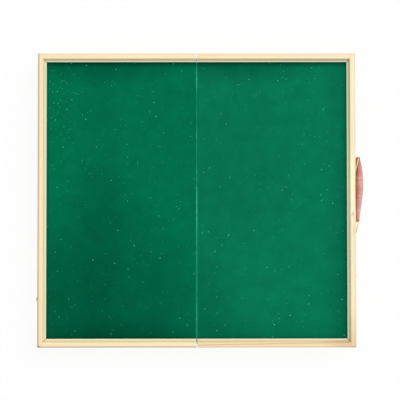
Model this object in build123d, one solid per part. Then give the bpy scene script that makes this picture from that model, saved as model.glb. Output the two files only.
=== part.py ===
from build123d import *
import math
import os

# A folding wooden game case, opened flat into a felt covered playing board.
# Lengths are millimetres. X runs across the board, from the left half to the half with the handle.
# Y runs away from the near edge and Z points up from the table.
# Every piece is drawn with the seam at X = 0, and all are moved at the end, so that the origin
# lies under the middle of the whole board, handle included.

# The wooden case, each half
half_width = 318.0
board_length = 588.0
wall_height = 40.0
wall_thick = 10.8
corner_radius = 3.0
arris_radius = 2.0
finger_count = 5
seam_wall_thick = 14.0
rib_thick = 8.0
block_width = 20.0
block_length = 40.0

# Gaps at the seam and between the closed halves
wall_end_gap = 1.8
panel_gap = 0.8
closing_gap = 0.4

# The playing surface
play_drop = 6.6
felt_thick = 1.0
panel_thick = 4.0
panel_tongue = 5.0
tongue_end_gap = 0.4

# The moulding that holds the felt's edge down
trim_width = 6.0
trim_flat = 0.8
trim_ledge = 2.4
trim_ledge_height = 2.2
trim_hollow = 0.35

# The rubber feet, and the pockets that take them when the case is closed
foot_radius = 6.0
foot_taper = 0.8
foot_edge = 0.6
foot_stem_radius = 2.5
foot_stem_length = 8.0
pocket_clearance = 0.8
pocket_end_gap = 0.5

# The butt hinges under the seam
hinge_inset = 104.0
hinge_length = 50.0
knuckle_count = 5
knuckle_radius = 2.4
knuckle_end_gap = 0.2
hinge_pin_radius = 1.2
hinge_pin_clearance = 0.05
leaf_width = 13.0
leaf_thick = 1.2
leaf_recess = 0.1
leaf_knuckle_gap = 0.3
mortise_gap = 0.5
hinge_floor_gap = 0.6
hinge_screw_count = 3
hinge_screw_spacing = 17.0
hinge_screw_edge = 4.6
hinge_screw_head = 2.4
hinge_screw_shank = 1.4
hinge_screw_length = 10.0
screw_clearance = 0.05
dome_rounding = 0.8
screw_slot_width = 0.7
screw_slot_depth = 0.6

# The handle
handle_place = -3.0
handle_rise = 18.0
grip_length = 126.0
ring_reach = 25.0
ring_height = 22.0
ring_bend = 2.5
ring_wire = 1.2
ring_lean = 13.4
ring_side_gap = 1.3
ring_plate_gap = 0.4
ring_bore_clearance = 0.1
ring_knuckle_wall = 0.8
plate_thick = 0.9
plate_width = 24.0
plate_height = 26.0
plate_corner = 3.0
plate_screw_inset = 4.2
plate_screw_head = 2.2
plate_screw_dome = 1.1
plate_screw_shank = 1.3
plate_screw_length = 9.0

# The leather grip, measured from the line between its two loops
loop_slack = 0.7
loop_clearance = 0.1
loop_leather = 1.3
grip_bulge = 11.0
grip_back = 2.8
grip_height = 24.0
grip_neck = 26.0
grip_skin = 2.0
grip_round = 0.42
grip_sections = 11
core_end = 13.0

# The latches: a hook on the left half and a stud on the right half
latch_inset = 142.0
latch_height = 18.0
washer_radius = 6.5
washer_thick = 1.0
hook_gap = 0.1
hook_thick = 1.6
hook_eye_radius = 5.0
hook_arm_width = 6.0
hook_head_radius = 6.3
hook_screw_head = 4.0
hook_screw_dome = 1.6
hook_screw_shank = 2.0
hook_screw_length = 9.0
hook_bore_clearance = 0.1
hook_tab_width = 8.0
hook_tab_root = 1.0
hook_tab_ramp = 3.4
hook_tab_lift = 3.5
hook_tab_length = 7.5
far_hook_droop = 16.0
stud_neck_radius = 2.0
stud_head_radius = 3.8
stud_head_thick = 1.8
stud_rosette_radius = 5.5
stud_rosette_thick = 0.8
stud_mouth_clearance = 0.3
stud_head_gap = 0.3
stud_point_radius = 1.5
stud_point_length = 9.0

# Heights above the table
foot_height = knuckle_radius + hinge_floor_gap + closing_gap / 2
wall_bottom = foot_height
wall_top = wall_bottom + wall_height
hinge_height = wall_bottom - closing_gap / 2
felt_top = wall_top - play_drop
panel_top = felt_top - felt_thick
panel_bottom = panel_top - panel_thick
handle_height = wall_bottom + handle_rise
latch_level = hinge_height + latch_height

# Places across and along the board
half_length = board_length / 2
hinge_place = half_length - hinge_inset
latch_place = half_length - latch_inset
inner_x = half_width - wall_thick
inner_y = half_length - wall_thick
seam_wall_start = panel_gap / 2
seam_wall_end = seam_wall_start + seam_wall_thick
block_rows = ((seam_wall_end, seam_wall_end + block_width), (inner_x - block_width, inner_x))
wall_side_spot = block_length / 4
middle_side_spot = block_length * 3 / 4

# The handle's linkage: two equal rings carry the grip, so it swings over without turning
ring_stand = plate_thick + ring_plate_gap + ring_wire
ring_knuckle_radius = ring_wire + ring_bore_clearance + ring_knuckle_wall
loop_height = ring_height - 2 * ring_wire - 2 * ring_side_gap
loop_bore = ring_wire + loop_slack
loop_radius = loop_bore + loop_leather
loop_shift = loop_slack - loop_clearance
grip_tilt = math.degrees(math.asin(loop_shift / (grip_length / 2)))
grip_x = half_width + ring_stand + ring_reach * math.sin(math.radians(ring_lean))
grip_y = handle_place + ring_reach * math.cos(math.radians(ring_lean))
ring_places = {"far": handle_place + grip_length / 2, "near": handle_place - grip_length / 2}

# How far the folded handle stands out of the case: the crown of the grip's outer arc
grip_rise = grip_bulge - loop_radius
grip_arc_radius = ((grip_length / 2) ** 2 + grip_rise ** 2) / (2 * grip_rise)
tilt_cosine = math.cos(math.radians(grip_tilt))
handle_reach = (grip_x - half_width) + grip_bulge * tilt_cosine + grip_arc_radius * (1 - tilt_cosine)

# How far the hooks' tabs stand out on the other side, and so where the middle of the whole lies
hook_inner = washer_thick + hook_gap
hook_outer = hook_inner + hook_thick
hook_reach = hook_outer + hook_tab_lift
to_origin = Pos((hook_reach - handle_reach) / 2, 0, 0)

from_base = (Align.CENTER, Align.CENTER, Align.MIN)


def slab(x_span, y_span, z_span):
    """A block between two values on each axis."""
    spans = (x_span, y_span, z_span)
    sizes = [high - low for low, high in spans]
    middles = [(low + high) / 2 for low, high in spans]
    return Pos(*middles) * Box(*sizes)


def rod(radius, start, end, end_radius=None):
    """A round bar between two points, or a cone if it ends at another radius."""
    line = Vector(*end) - Vector(*start)
    base = Plane(origin=start, z_dir=line)
    if end_radius is None:
        return base * Cylinder(radius, line.length, align=from_base)
    return base * Cone(radius, end_radius, line.length, align=from_base)


def prism(points, plane, length):
    """A straight sided solid on a closed outline."""
    outline = make_face(Polyline(points, close=True))
    return extrude(plane * outline, amount=length)


def at_far_and_near(shape):
    """A piece at the far side, with its reflection at the near side."""
    return Part() + [shape, mirror(shape, about=Plane.XZ)]


# The wooden case. All of it is drawn for the right half; the left half is its reflection.

def case_envelope():
    """The outside of one half, with its rounded corners and eased top edges."""
    block = slab((0, half_width), (-half_length, half_length), (wall_bottom, wall_top))
    corners = block.edges().filter_by(Axis.Z).sort_by(Axis.X)[-2:]
    block = fillet(corners, corner_radius)
    top_edges = block.faces().sort_by(Axis.Z)[-1].edges().sort_by(Axis.X)[1:]
    return fillet(top_edges, arris_radius)


def corner_fingers(first_layer):
    """Every other layer of the far corner, where one board's fingers fill the other's slots."""
    finger_height = wall_height / finger_count
    layers = []
    for layer in range(first_layer, finger_count, 2):
        low = wall_bottom + layer * finger_height
        layers.append(slab((inner_x, half_width), (inner_y, half_length), (low, low + finger_height)))
    return Part() + layers


def panel_groove():
    """The groove that runs round inside the walls and takes the panel's tongue."""
    reach = panel_tongue + tongue_end_gap
    return slab((0, inner_x + reach), (-inner_y - reach, inner_y + reach), (panel_bottom, panel_top))


def outer_wall(envelope):
    board = slab((inner_x, half_width), (-half_length, half_length), (wall_bottom, wall_top))
    return (board & envelope) - at_far_and_near(corner_fingers(1)) - panel_groove()


def far_wall(envelope):
    board = slab((wall_end_gap / 2, half_width), (inner_y, half_length), (wall_bottom, wall_top))
    return (board & envelope) - corner_fingers(0) - panel_groove()


def seam_wall():
    board = slab((seam_wall_start, seam_wall_end), (-inner_y, inner_y), (wall_bottom, panel_bottom))
    for sign in (1, -1):
        board -= hinge_mortise(sign * hinge_place)
        board -= hinge_screws(sign * hinge_place, screw_clearance)
    return board


def centre_rib():
    return slab((seam_wall_end, inner_x), (-rib_thick / 2, rib_thick / 2), (wall_bottom, panel_bottom))


def block_spots(spot):
    """The places on the four corner blocks that lie this far in from the far or near wall."""
    places = []
    for low, high in block_rows:
        for sign in (1, -1):
            places.append(((low + high) / 2, sign * (inner_y - spot)))
    return places


def corner_blocks(foot_spot, pocket_spot):
    blocks = []
    for row in block_rows:
        block = slab(row, (inner_y - block_length, inner_y), (wall_bottom, panel_bottom))
        blocks.append(at_far_and_near(block))
    blocks = Part() + blocks
    for x, y in block_spots(foot_spot):
        stem_end = wall_bottom + foot_stem_length + screw_clearance
        blocks -= rod(foot_stem_radius + screw_clearance, (x, y, wall_bottom), (x, y, stem_end))
    pocket_depth = foot_height - closing_gap + pocket_end_gap
    for x, y in block_spots(pocket_spot):
        pocket_end = wall_bottom + pocket_depth
        blocks -= rod(foot_radius + pocket_clearance, (x, y, wall_bottom), (x, y, pocket_end))
    return blocks


def feet(foot_spot):
    pads = []
    for x, y in block_spots(foot_spot):
        pad = rod(foot_radius - foot_taper, (x, y, 0), (x, y, wall_bottom), foot_radius)
        pad = fillet(pad.edges().sort_by(Axis.Z)[0], foot_edge)
        stem = rod(foot_stem_radius, (x, y, wall_bottom), (x, y, wall_bottom + foot_stem_length))
        pads.append(pad + stem)
    return Part() + pads


def panel():
    reach_y = inner_y + panel_tongue
    return slab((panel_gap / 2, inner_x + panel_tongue), (-reach_y, reach_y), (panel_bottom, panel_top))


def felt():
    return slab((panel_gap / 2, inner_x), (-inner_y, inner_y), (panel_top, felt_top))


def trim_outline():
    """Half a section: distance from the wall, then height above the felt."""
    slope_end = trim_width - trim_ledge
    slope_middle = (trim_flat + slope_end) / 2
    height_middle = (play_drop + trim_ledge_height) / 2 - trim_hollow
    sides = Polyline(
        (slope_end, trim_ledge_height), (trim_width, trim_ledge_height), (trim_width, 0), (0, 0),
        (0, play_drop), (trim_flat, play_drop),
    )
    slope = ThreePointArc(
        (trim_flat, play_drop), (slope_middle - trim_hollow, height_middle), (slope_end, trim_ledge_height),
    )
    return make_face(sides + slope)


def mitre_wedge(beside_far_wall):
    """The far corner of the moulding, on one side of its mitre."""
    reach = 2 * trim_width
    corner = (inner_x, inner_y)
    inside = (inner_x - reach, inner_y - reach)
    third = (inner_x - reach, inner_y) if beside_far_wall else (inner_x, inner_y - reach)
    return prism([corner, inside, third], Plane.XY.offset(felt_top), play_drop)


def outer_trim():
    plane = Plane(origin=(inner_x, 0, felt_top), x_dir=(-1, 0, 0), z_dir=(0, 1, 0))
    strip = extrude(plane * trim_outline(), amount=inner_y, both=True)
    return strip - at_far_and_near(mitre_wedge(True))


def far_trim():
    plane = Plane(origin=(wall_end_gap / 2, inner_y, felt_top), x_dir=(0, -1, 0), z_dir=(-1, 0, 0))
    strip = extrude(plane * trim_outline(), amount=-(inner_x - wall_end_gap / 2))
    return strip - mitre_wedge(False)


# The hinges. The leaves are drawn for the right half too.

def hinge_mortise(place):
    """The seat of a leaf, with room for the whole barrel beside it."""
    y_span = (place - hinge_length / 2 - mortise_gap, place + hinge_length / 2 + mortise_gap)
    barrel_room = knuckle_radius + mortise_gap
    leaf_top = wall_bottom + leaf_recess + leaf_thick
    barrel = slab((0, barrel_room), y_span, (wall_bottom, hinge_height + barrel_room))
    seat = slab((0, leaf_width + mortise_gap), y_span, (wall_bottom, leaf_top))
    return barrel + seat


def hinge_screws(place, extra=0):
    """The countersunk screws of one leaf, or their holes with some extra radius."""
    x = leaf_width - hinge_screw_edge
    head_face = wall_bottom + leaf_recess
    shoulder = head_face + leaf_thick
    screws = []
    for number in range(hinge_screw_count):
        y = place + (number - (hinge_screw_count - 1) / 2) * hinge_screw_spacing
        head = rod(hinge_screw_head + extra, (x, y, head_face), (x, y, shoulder), hinge_screw_shank + extra)
        if not extra:
            head -= Pos(x, y, head_face) * Box(screw_slot_width, 3 * hinge_screw_head, 2 * screw_slot_depth)
        tip = shoulder + hinge_screw_length + extra
        shank = rod(hinge_screw_shank + extra, (x, y, shoulder), (x, y, tip))
        screws.append(head + shank)
    return Part() + screws


def hinge_leaf(place, first_knuckle):
    """A leaf with every other knuckle of the barrel, from the first one given."""
    start = place - hinge_length / 2
    z_span = (wall_bottom + leaf_recess, wall_bottom + leaf_recess + leaf_thick)
    plate_start = knuckle_radius + leaf_knuckle_gap
    leaf = slab((plate_start, leaf_width), (start, start + hinge_length), z_span)
    step = hinge_length / knuckle_count
    for number in range(first_knuckle, knuckle_count, 2):
        low = start + number * step + knuckle_end_gap / 2
        high = start + (number + 1) * step - knuckle_end_gap / 2
        leaf += slab((0, plate_start), (low, high), z_span)
        leaf += rod(knuckle_radius, (0, low, hinge_height), (0, high, hinge_height))
    bore = hinge_pin_radius + hinge_pin_clearance
    leaf -= rod(bore, (0, start, hinge_height), (0, start + hinge_length, hinge_height))
    return leaf - hinge_screws(place, screw_clearance)


def hinge_pin(place):
    half = hinge_length / 2
    return rod(hinge_pin_radius, (0, place - half, hinge_height), (0, place + half, hinge_height))


# The handle, on the right half

def plate_screw_places(place):
    """The four corners of a handle plate, along Y and Z."""
    y_reach = plate_width / 2 - plate_screw_inset
    z_reach = plate_height / 2 - plate_screw_inset
    return [(place + a * y_reach, handle_height + b * z_reach) for a in (1, -1) for b in (1, -1)]


def domed_screw(base, radius, dome, shank, length, extra=0):
    """A round head standing out along X from its seat, on a shank that goes into the wood."""
    x, y, z = base
    head = rod(radius, (x, y, z), (x + dome, y, z))
    head = fillet(head.edges().sort_by(Axis.X)[-1], dome * dome_rounding)
    head -= Pos(x + dome, y, z) * Box(2 * screw_slot_depth, screw_slot_width, 3 * radius)
    return head + rod(shank + extra, (x, y, z), (x - length - extra, y, z))


def plate_screws(place, extra=0):
    screws = []
    for y, z in plate_screw_places(place):
        seat = (half_width + plate_thick, y, z)
        screw = domed_screw(
            seat, plate_screw_head, plate_screw_dome, plate_screw_shank, plate_screw_length, extra,
        )
        screws.append(screw)
    return Part() + screws


def handle_plate(place):
    """A screwed plate with a rolled knuckle up its middle."""
    face = Plane(origin=(half_width, place, handle_height), x_dir=(0, 1, 0), z_dir=(1, 0, 0))
    plate = extrude(face * RectangleRounded(plate_width, plate_height, plate_corner), amount=plate_thick)
    x = half_width + ring_stand
    low = handle_height - loop_height / 2
    high = handle_height + loop_height / 2
    plate += rod(ring_knuckle_radius, (x, place, low), (x, place, high))
    plate -= rod(ring_wire + ring_bore_clearance, (x, place, low), (x, place, high))
    return plate - plate_screws(place, screw_clearance)


def handle_ring(place):
    """A rectangular wire ring, leaning away over its plate."""
    upright = Plane.XZ * RectangleRounded(ring_reach, ring_height, ring_bend)
    path = (Pos(ring_reach / 2, 0, 0) * upright).wire()
    section = Plane(origin=path @ 0, z_dir=path % 0) * Circle(ring_wire)
    ring = sweep(section, path)
    return Pos(half_width + ring_stand, place, handle_height) * Rot(0, 0, 90 - ring_lean) * ring


def grip_outer(along):
    """The grip's outer face, from the line between the loops."""
    return grip_bulge - grip_arc_radius + math.sqrt(grip_arc_radius ** 2 - along ** 2)


def grip_half_height(along):
    """The grip is as low as its loops beside them and swells to its full height in the middle."""
    neck_start = grip_length / 2 - grip_neck
    if abs(along) >= neck_start:
        return loop_height / 2
    swell = math.cos(along / neck_start * math.pi / 2) ** 2
    return (loop_height + (grip_height - loop_height) * swell) / 2


def grip_body(end, inset):
    """A spindle lofted along Y, drawn in by an inset and ending before the loops."""
    sections = []
    for number in range(grip_sections):
        along = -end + 2 * end * number / (grip_sections - 1)
        outer = grip_outer(along) - inset
        back = -grip_back + inset
        half_height = grip_half_height(along) - inset
        depth = outer - back
        plane = Plane(origin=((outer + back) / 2, along, 0), x_dir=(1, 0, 0), z_dir=(0, 1, 0))
        sections.append(plane * RectangleRounded(depth, 2 * half_height, depth * grip_round))
    return loft(sections)


def place_grip(shape):
    return Pos(grip_x, grip_y, handle_height) * Rot(0, 0, -grip_tilt) * shape


def grip_leather():
    leather = grip_body(grip_length / 2, 0)
    for sign in (1, -1):
        y = sign * grip_length / 2
        leather += rod(loop_radius, (0, y, -loop_height / 2), (0, y, loop_height / 2))
    for sign in (1, -1):
        y = sign * grip_length / 2
        leather -= rod(loop_bore, (0, y, -loop_height / 2), (0, y, loop_height / 2))
    return leather - grip_body(grip_length / 2 - core_end, grip_skin)


def grip_core():
    return grip_body(grip_length / 2 - core_end, grip_skin)


# The latches. The hooks are drawn on the right hand wall and reflected to the left one.

def hook_screw(y, extra=0):
    seat = (half_width + hook_outer + hook_gap, y, latch_level)
    length = hook_screw_length + hook_outer + hook_gap
    return domed_screw(seat, hook_screw_head, hook_screw_dome, hook_screw_shank, length, extra)


def hook_washer(y):
    disc = rod(washer_radius, (half_width, y, latch_level), (half_width + washer_thick, y, latch_level))
    return disc - hook_screw(y, screw_clearance)


def swing_hook():
    """A flat hook that hangs from its eye at the origin, its mouth open towards +Y."""
    stud_drop = 2 * latch_height
    mouth = stud_neck_radius + stud_mouth_clearance
    tab_start = stud_drop + hook_head_radius - hook_tab_root
    eye = Circle(hook_eye_radius)
    arm = Pos(0, -stud_drop / 2) * Rectangle(hook_arm_width, stud_drop)
    head = Pos(0, -stud_drop) * Circle(hook_head_radius)
    slot = Pos(hook_head_radius, -stud_drop) * Rectangle(2 * hook_head_radius, 2 * mouth)
    bore = Circle(hook_screw_shank + hook_bore_clearance)
    flat = eye + arm + head - slot - Pos(0, -stud_drop) * Circle(mouth) - bore
    hook = extrude(Plane.YZ.offset(hook_inner) * flat, amount=hook_thick)
    ramp_end = tab_start + hook_tab_ramp
    tab_end = ramp_end + hook_tab_length
    root = stud_drop + mouth + hook_tab_root
    side = [
        (hook_inner, -root), (hook_outer, -root), (hook_outer, -tab_start),
        (hook_outer + hook_tab_lift, -ramp_end), (hook_outer + hook_tab_lift, -tab_end),
        (hook_inner + hook_tab_lift, -tab_end), (hook_inner + hook_tab_lift, -ramp_end),
        (hook_inner, -tab_start),
    ]
    side_plane = Plane(origin=(0, hook_tab_width / 2, 0), x_dir=(1, 0, 0), z_dir=(0, -1, 0))
    return hook + prism(side, side_plane, hook_tab_width)


def placed_hook(y, turn):
    """The hook on its screw, turned up from hanging straight down."""
    return Pos(half_width, y, latch_level) * Rot(turn, 0, 0) * swing_hook()


def latch_stud(y, extra=0):
    hook_room = hook_outer + stud_head_gap
    x = half_width
    z = latch_level
    rosette = rod(stud_rosette_radius, (x, y, z), (x + stud_rosette_thick, y, z))
    neck = rod(stud_neck_radius, (x, y, z), (x + hook_room, y, z))
    head = rod(stud_head_radius, (x + hook_room, y, z), (x + hook_room + stud_head_thick, y, z))
    head = fillet(head.edges().sort_by(Axis.X)[-1], stud_head_thick / 2)
    point = rod(stud_point_radius + extra, (x, y, z), (x - stud_point_length - extra, y, z))
    return rosette + neck + head + point


# The pieces, by name

pieces = {}
envelope = case_envelope()
far_board = far_wall(envelope)
near_board = mirror(far_board, about=Plane.XZ)
sides = {
    "left": (wall_side_spot, middle_side_spot),
    "right": (middle_side_spot, wall_side_spot),
}

for side, (foot_spot, pocket_spot) in sides.items():
    outer_board = outer_wall(envelope)
    for sign in (1, -1):
        if side == "left":
            outer_board -= hook_screw(sign * latch_place, screw_clearance)
        else:
            outer_board -= latch_stud(sign * latch_place, screw_clearance)
    if side == "right":
        for place in ring_places.values():
            outer_board -= plate_screws(place, screw_clearance)
    half = {
        "outer_wall": outer_board,
        "far_wall": far_board,
        "near_wall": near_board,
        "seam_wall": seam_wall(),
        "centre_rib": centre_rib(),
        "corner_blocks": corner_blocks(foot_spot, pocket_spot),
        "feet": feet(foot_spot),
        "panel": panel(),
        "felt": felt(),
        "outer_trim": outer_trim(),
        "far_trim": far_trim(),
        "near_trim": mirror(far_trim(), about=Plane.XZ),
        "hinge_screws": at_far_and_near(hinge_screws(hinge_place)),
    }
    for name, shape in half.items():
        pieces[side + "_" + name] = mirror(shape, about=Plane.YZ) if side == "left" else shape

for end, sign in (("far", 1), ("near", -1)):
    hinge_y = sign * hinge_place
    pieces[end + "_hinge_left_leaf"] = mirror(hinge_leaf(hinge_y, 0), about=Plane.YZ)
    pieces[end + "_hinge_right_leaf"] = hinge_leaf(hinge_y, 1)
    pieces[end + "_hinge_pin"] = hinge_pin(hinge_y)
    latch_y = sign * latch_place
    pieces[end + "_hook_washer"] = mirror(hook_washer(latch_y), about=Plane.YZ)
    pieces[end + "_hook_screw"] = mirror(hook_screw(latch_y), about=Plane.YZ)
    pieces[end + "_latch_stud"] = latch_stud(latch_y)
    place = ring_places[end]
    pieces[end + "_handle_plate"] = handle_plate(place)
    pieces[end + "_plate_screws"] = plate_screws(place)
    pieces[end + "_ring"] = handle_ring(place)

# The near hook is stowed level, and the far one droops until its tab almost meets the table
near_hook = placed_hook(-latch_place, -90)
far_hook = mirror(placed_hook(-latch_place, -90 + far_hook_droop), about=Plane.XZ)
pieces["near_hook"] = mirror(near_hook, about=Plane.YZ)
pieces["far_hook"] = mirror(far_hook, about=Plane.YZ)
pieces["grip_leather"] = place_grip(grip_leather())
pieces["grip_core"] = place_grip(grip_core())

os.makedirs("parts", exist_ok=True)
for name, shape in pieces.items():
    export_step(to_origin * shape, os.path.join("parts", name + ".step"))
print(len(pieces), "pieces written, handle stands out", round(handle_reach, 2), "mm")
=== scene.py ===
import bpy
import math
import random
from mathutils import Matrix, Vector, noise


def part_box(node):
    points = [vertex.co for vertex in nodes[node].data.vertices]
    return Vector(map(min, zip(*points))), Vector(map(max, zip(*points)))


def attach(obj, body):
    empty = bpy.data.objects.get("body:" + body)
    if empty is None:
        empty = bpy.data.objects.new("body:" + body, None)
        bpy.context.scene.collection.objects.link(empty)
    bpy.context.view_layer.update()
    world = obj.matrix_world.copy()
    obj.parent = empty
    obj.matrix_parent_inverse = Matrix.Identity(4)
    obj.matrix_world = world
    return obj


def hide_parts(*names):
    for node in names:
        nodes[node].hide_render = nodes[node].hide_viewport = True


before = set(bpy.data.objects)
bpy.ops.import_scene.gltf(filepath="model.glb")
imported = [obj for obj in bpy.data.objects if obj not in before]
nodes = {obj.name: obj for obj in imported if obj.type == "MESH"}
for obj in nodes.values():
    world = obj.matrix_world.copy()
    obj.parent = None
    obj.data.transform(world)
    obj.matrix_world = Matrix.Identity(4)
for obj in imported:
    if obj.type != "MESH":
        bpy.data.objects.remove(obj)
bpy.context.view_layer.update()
mm = 0.001
print("frame loaded:", len(nodes), "pieces")

seamX = (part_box("left_felt")[1].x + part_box("right_felt")[0].x) / 2
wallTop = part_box("left_outer_wall")[1].z
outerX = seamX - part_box("left_outer_wall")[0].x        # from the seam to the outside of the rail
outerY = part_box("left_far_wall")[1].y
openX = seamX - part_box("left_outer_trim")[1].x         # from the seam to the edge of the bare felt
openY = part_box("left_far_trim")[0].y


# small helpers for materials

def startMaterial(name):
    mat = bpy.data.materials.new(name)
    mat.use_nodes = True
    return mat, mat.node_tree, mat.node_tree.nodes["Principled BSDF"]


def feed(tree, node, inputs):
    # another node's output is linked, and a plain value is set
    for key, value in inputs.items():
        if hasattr(value, "is_output"):
            tree.links.new(value, node.inputs[key])
        else:
            node.inputs[key].default_value = value


def addNode(tree, kind, inputs=None, **settings):
    made = tree.nodes.new("ShaderNode" + kind)
    for key, value in settings.items():
        setattr(made, key, value)
    feed(tree, made, inputs or {})
    return made


def calc(tree, operation, a, b=0.0, clamp=False):
    return addNode(tree, "Math", {0: a, 1: b}, operation=operation, use_clamp=clamp).outputs[0]


def plus(tree, a, b):
    return calc(tree, "ADD", a, b)


def minus(tree, a, b):
    return calc(tree, "SUBTRACT", a, b)


def times(tree, a, b):
    return calc(tree, "MULTIPLY", a, b)


def sizeOf(tree, value):
    return calc(tree, "ABSOLUTE", value)


def rgb(colour):
    # a plain colour gets its alpha, a node's output stays as it is
    return colour if hasattr(colour, "is_output") else (*colour, 1.0)


def mixColour(tree, factor, a, b, blend="MIX"):
    inputs = {0: factor, 6: rgb(a), 7: rgb(b)}
    return addNode(tree, "Mix", inputs, data_type="RGBA", blend_type=blend).outputs[2]


def scaled(tree, colour, light):
    grey = addNode(tree, "CombineColor", {0: light, 1: light, 2: light}).outputs[0]
    return mixColour(tree, 1.0, colour, grey, "MULTIPLY")


def spread(tree, value, low, high, toLow=0.0, toHigh=1.0):
    # a smooth step between two values
    inputs = {0: value, 1: low, 2: high, 3: toLow, 4: toHigh}
    return addNode(tree, "MapRange", inputs, interpolation_type="SMOOTHSTEP").outputs[0]


def cloudy(tree, place, scale, detail, rough=0.5, distortion=0.0):
    inputs = {"Vector": place, "Scale": scale, "Detail": detail, "Roughness": rough, "Distortion": distortion}
    return addNode(tree, "TexNoise", inputs).outputs["Fac"]


def bumped(tree, height, distance, strength, normal=None):
    inputs = {"Height": height, "Distance": distance, "Strength": strength}
    if normal is not None:
        inputs["Normal"] = normal
    return addNode(tree, "Bump", inputs).outputs[0]


def objectPlace(tree, scale=(1, 1, 1)):
    # texture place that stays with the piece when it moves
    where = addNode(tree, "TexCoord").outputs["Object"]
    return addNode(tree, "Mapping", {"Vector": where, "Scale": scale}).outputs[0]


def split(tree, vector):
    return addNode(tree, "SeparateXYZ", {0: vector}).outputs


def facing(tree):
    return split(tree, addNode(tree, "TexCoord").outputs["Normal"])


def boardPlace(tree, spot):
    # distance from the seam, and from the middle line
    return sizeOf(tree, minus(tree, spot[0], seamX)), sizeOf(tree, spot[1])


def nearSpot(tree, spot, x, y, reachX, reachY):
    # 1 at a spot on the board, given from the seam's middle, and 0 from its reach on
    offX = calc(tree, "DIVIDE", minus(tree, spot[0], seamX + x), reachX)
    offY = calc(tree, "DIVIDE", minus(tree, spot[1], y), reachY)
    away = plus(tree, times(tree, offX, offX), times(tree, offY, offY))
    return spread(tree, away, 1.0, 0.0)


def softEdges(tree, radius):
    # rounded normal at the corners, and a mask that is 1 along them
    bevel = addNode(tree, "Bevel", {"Radius": radius}, samples=6).outputs[0]
    flat = addNode(tree, "NewGeometry").outputs["Normal"]
    turn = addNode(tree, "VectorMath", {0: bevel, 1: flat}, operation="DOT_PRODUCT").outputs["Value"]
    return bevel, spread(tree, turn, 0.995, 0.86)


# wood

railWood = {
    "pale": (0.99, 0.85, 0.555),
    "late": (0.80, 0.56, 0.29),
    "end": (0.72, 0.50, 0.27),
    "endStrength": 0.8,
    "pith": (0.11, 0.07, -0.16),
    "ownPlace": 0.37,                  # how far each board's grain is shifted at most
    "ringGap": 4.2 * mm,
    "ringWarp": 5.0,
    "ringStrength": 0.36,
    "bands": 0.28,
    "bandGap": 4.0 * mm,
    "stretch": (0.05, 0.008),          # how fine the grain and the bands are lengthwise
    "fibre": 0.16,
    "fibreScale": 900.0,
    "poreScale": 330.0,
    "tone": 0.10,
    "toneScale": 26.0,
    "rough": 0.42,
    "roughChange": 0.09,
    "gloss": 0.35,
    "grainHeight": 0.12 * mm,
    "edge": 0.55 * mm,
    "edgeShade": 0.14,
    "outerEdge": 1.7 * mm,             # the outside of the rails is rounded over
    "outerStrip": 3 * mm,
    # painted shade along the outside of the top, strongest on the sides facing away from the light, with some dirt
    "rimShadeReach": (5.2 * mm, 0.6 * mm),
    "rimShadeAndDirt": {"left": 0.52, "right": 0.18, "near": 0.46, "far": 0.16},
    "rimShadeTint": (0.22, 0.08, 0.10),
    "side": (0.95, 0.88, 0.78),        # the upright faces keep more of their varnish
    # single strong stripes: distance from the outside, half their width, slope, strength
    "stripes": (),
    "stripe": (0.66, 0.42, 0.20),
    "stripeSway": 2.0 * mm,
    # places with their own tint: x and y from the seam's middle, radii in x and y, tint
    "places": (
        (0.309, 0.000, 0.060, 0.600, (1.00, 1.035, 1.08)), (0.309, 0.030, 0.040, 0.090, (1.05, 1.12, 1.14)),
        (0.309, -0.275, 0.040, 0.060, (0.92, 0.86, 0.82)), (-0.309, -0.090, 0.040, 0.280, (1.06, 1.02, 1.00)),
        (0.250, 0.285, 0.110, 0.030, (0.95, 0.97, 1.05)), (0.290, -0.285, 0.045, 0.030, (0.94, 0.87, 0.85)),
        (outerX - 0.2 * mm, 0.022, 2.1 * mm, 0.070, (0.62, 0.46, 0.43)),    # painted shadow of the grip on the rail's edge
    ),
    # dark marks: x and y from the seam's middle, radii in x and y, strength
    "marks": (
        (outerX - 6.2 * mm, -0.029, 3.6 * mm, 7.5 * mm, 0.36), (outerX - 4.6 * mm, -0.060, 3.0 * mm, 14 * mm, 0.14),
        (2.9 * mm - outerX, 2.6 * mm - outerY, 3.4 * mm, 2.6 * mm, 0.70),
    ),
    "markScale": 320.0,
    "seamEndLight": (0.97, 0.87, 0.86),    # painted light at the seam: the pale look of the eased ends and of the gap between the halves
    "seamEndLightReach": (2.2 * mm, 1.3 * mm),
    "seamEndLightStrength": 0.85,
    "seamEndLightNear": 0.5 * mm,              # it reaches less far on the near side
}
warmWood = {
    **railWood,
    "ringStrength": 0.4,
    "bands": 0.4,
    # less painted shade on the near side of this wall
    "rimShadeAndDirt": {**railWood["rimShadeAndDirt"], "near": 0.22},
    "stripes": ((5.2 * mm, 1.8 * mm, 0.017, 0.78), (9.6 * mm, 2.8 * mm, 0.014, 0.36)),
}
trimWood = {
    **railWood,
    "pale": (0.78, 0.625, 0.385),
    "late": (0.62, 0.43, 0.22),
    "pith": (0.07, -0.05, -0.12),
    "ringGap": 2.6 * mm,
    "ringStrength": 0.22,
    "bands": 0.18,
    "edge": 0.35 * mm,
    "edgeShade": 0.10,
    "marks": (),
    "ledge": (0.90, 0.87, 0.64),       # the narrow ledge beside the felt is paler
    "ledgeDrop": 2 * mm,
    "ledgeStrength": 0.85,
    "feltReflection": (0.50, 0.84, 0.60),      # painted green light, reflected onto it from the felt
    "feltReflectionReach": (2.1 * mm, 1.3 * mm),
    "feltReflectionAmount": {"X": 0.42, "Y": 0.95},
    "mitre": (0.20, 0.14, 0.09),
    "mitreReach": (1.0 * mm, 0.4 * mm),
    "mitreStrength": 0.9,
}
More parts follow.
